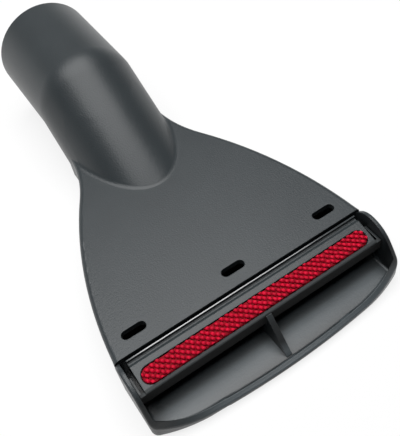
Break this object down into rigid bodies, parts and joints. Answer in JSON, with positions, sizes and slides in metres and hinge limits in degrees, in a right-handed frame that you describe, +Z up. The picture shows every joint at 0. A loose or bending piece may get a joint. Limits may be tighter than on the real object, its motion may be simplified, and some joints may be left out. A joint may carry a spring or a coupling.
{
  "type": "vacuum mattress nozzle",
  "caption": "Fan-shaped hollow vacuum nozzle with a push-on tube, vent slots, a scoop lip and a clip-in bar that holds a red lint strip, for cleaning mattresses and upholstery.",
  "frame": {"origin": "middle of the bounding box, on the plane that the nozzle's flat underside rests on", "axes": "+X across the nozzle, +Y from the mouth towards the tube, +Z up, out of the flat face with the lint strip"},
  "size_m": [0.0938, 0.1685, 0.0423],
  "materials": {
    "body_plastic": "satin, fine-grained slate grey",
    "carrier_plastic": "satin slate grey",
    "lint_pile": "short one-way red pile"
  },
  "bodies": {
    "root": {"nozzle_body": "body_plastic", "strip_carrier": "carrier_plastic", "lint_strip": "lint_pile"}
  },
  "joints": []
}
